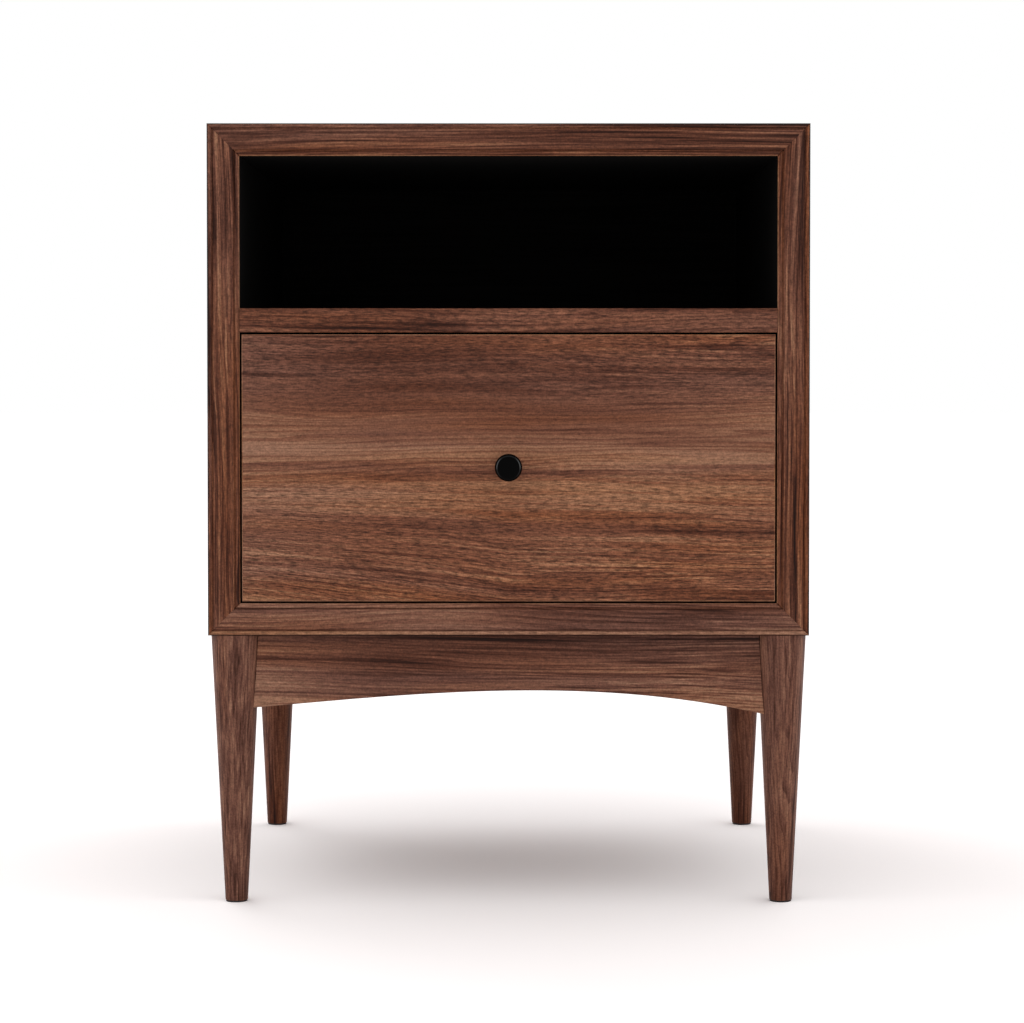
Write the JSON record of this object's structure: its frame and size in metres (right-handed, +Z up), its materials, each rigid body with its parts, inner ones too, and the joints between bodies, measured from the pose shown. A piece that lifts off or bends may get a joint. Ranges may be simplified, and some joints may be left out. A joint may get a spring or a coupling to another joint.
{
  "type": "nightstand",
  "caption": "Square walnut bedside cabinet with an open black niche over a drawer with a round knob, on a base of tapered round legs with an arched apron.",
  "frame": {"origin": "on the floor, under the centre of the bounding box, knob included", "axes": "+Z up, +X to the right seen from the front, +Y towards the back; the drawer opens along -Y"},
  "size_m": [0.508, 0.481, 0.6604],
  "materials": {
    "walnut_veneer": "satin lacquered walnut veneer, black inside the case",
    "walnut_solid": "satin lacquered solid walnut",
    "walnut_front": "satin lacquered walnut veneer, grain along the width",
    "black_board": "black painted board",
    "birch": "clear lacquered birch",
    "knob_black": "satin black",
    "zinc": "zinc plated",
    "steel": "rolled, zinc plated",
    "ball_steel": "polished",
    "rubber_black": "matt",
    "glide_nylon": "matt"
  },
  "bodies": {
    "case": {"top_panel": "walnut_veneer", "bottom_panel": "walnut_veneer", "side_panel_left": "walnut_veneer", "side_panel_right": "walnut_veneer", "mitre_splines": "birch", "face_frame_top": "walnut_solid", "face_frame_bottom": "walnut_solid", "face_frame_left": "walnut_solid", "face_frame_right": "walnut_solid", "divider_panel": "black_board", "divider_lipping": "walnut_solid", "back_panel": "black_board", "back_screws": "zinc", "leg_front_left": "walnut_solid", "leg_front_right": "walnut_solid", "leg_rear_left": "walnut_solid", "leg_rear_right": "walnut_solid", "apron_front": "walnut_solid", "rail_rear": "walnut_solid", "rail_left": "walnut_solid", "rail_right": "walnut_solid", "rail_dowels": "birch", "corner_blocks": "birch", "corner_block_screws": "zinc", "base_screws": "zinc", "hanger_bolts": "zinc", "hanger_washers": "zinc", "hanger_nuts": "zinc", "foot_glides": "glide_nylon", "slide_cabinet_left": "steel", "slide_cabinet_right": "steel", "slide_bumpers": "rubber_black", "slide_cabinet_screws": "zinc"},
    "drawer": {"drawer_front": "walnut_front", "drawer_box_front": "birch", "drawer_box_back": "birch", "drawer_side_left": "birch", "drawer_side_right": "birch", "drawer_bottom": "birch", "drawer_front_screws": "zinc", "knob": "knob_black", "knob_screw": "zinc", "slide_drawer_left": "steel", "slide_drawer_right": "steel", "slide_drawer_screws": "zinc"},
    "middle_left": {"slide_middle_left": "steel"},
    "outer_retainer_left": {"outer_retainer_left": "zinc", "outer_balls_left": "ball_steel"},
    "inner_retainer_left": {"inner_retainer_left": "zinc", "inner_balls_left": "ball_steel"},
    "middle_right": {"slide_middle_right": "steel"},
    "outer_retainer_right": {"outer_retainer_right": "zinc", "outer_balls_right": "ball_steel"},
    "inner_retainer_right": {"inner_retainer_right": "zinc", "inner_balls_right": "ball_steel"}
  },
  "joints": [
    {"name": "drawer_slide", "type": "slide", "parent": "case", "child": "drawer", "axis": [0, -1, 0], "range_m": [0, 0.38]},
    {"name": "middle_left_slide", "type": "slide", "parent": "case", "child": "middle_left", "axis": [0, -1, 0], "range_m": [0, 0.19]},
    {"name": "outer_retainer_left_slide", "type": "slide", "parent": "case", "child": "outer_retainer_left", "axis": [0, -1, 0], "range_m": [0, 0.095]},
    {"name": "inner_retainer_left_slide", "type": "slide", "parent": "case", "child": "inner_retainer_left", "axis": [0, -1, 0], "range_m": [0, 0.285]},
    {"name": "middle_right_slide", "type": "slide", "parent": "case", "child": "middle_right", "axis": [0, -1, 0], "range_m": [0, 0.19]},
    {"name": "outer_retainer_right_slide", "type": "slide", "parent": "case", "child": "outer_retainer_right", "axis": [0, -1, 0], "range_m": [0, 0.095]},
    {"name": "inner_retainer_right_slide", "type": "slide", "parent": "case", "child": "inner_retainer_right", "axis": [0, -1, 0], "range_m": [0, 0.285]}
  ],
  "couplings": [
    {"joint": "middle_left_slide", "follows": "drawer_slide", "ratio": 0.5},
    {"joint": "outer_retainer_left_slide", "follows": "drawer_slide", "ratio": 0.25},
    {"joint": "inner_retainer_left_slide", "follows": "drawer_slide", "ratio": 0.75},
    {"joint": "middle_right_slide", "follows": "drawer_slide", "ratio": 0.5},
    {"joint": "outer_retainer_right_slide", "follows": "drawer_slide", "ratio": 0.25},
    {"joint": "inner_retainer_right_slide", "follows": "drawer_slide", "ratio": 0.75}
  ]
}
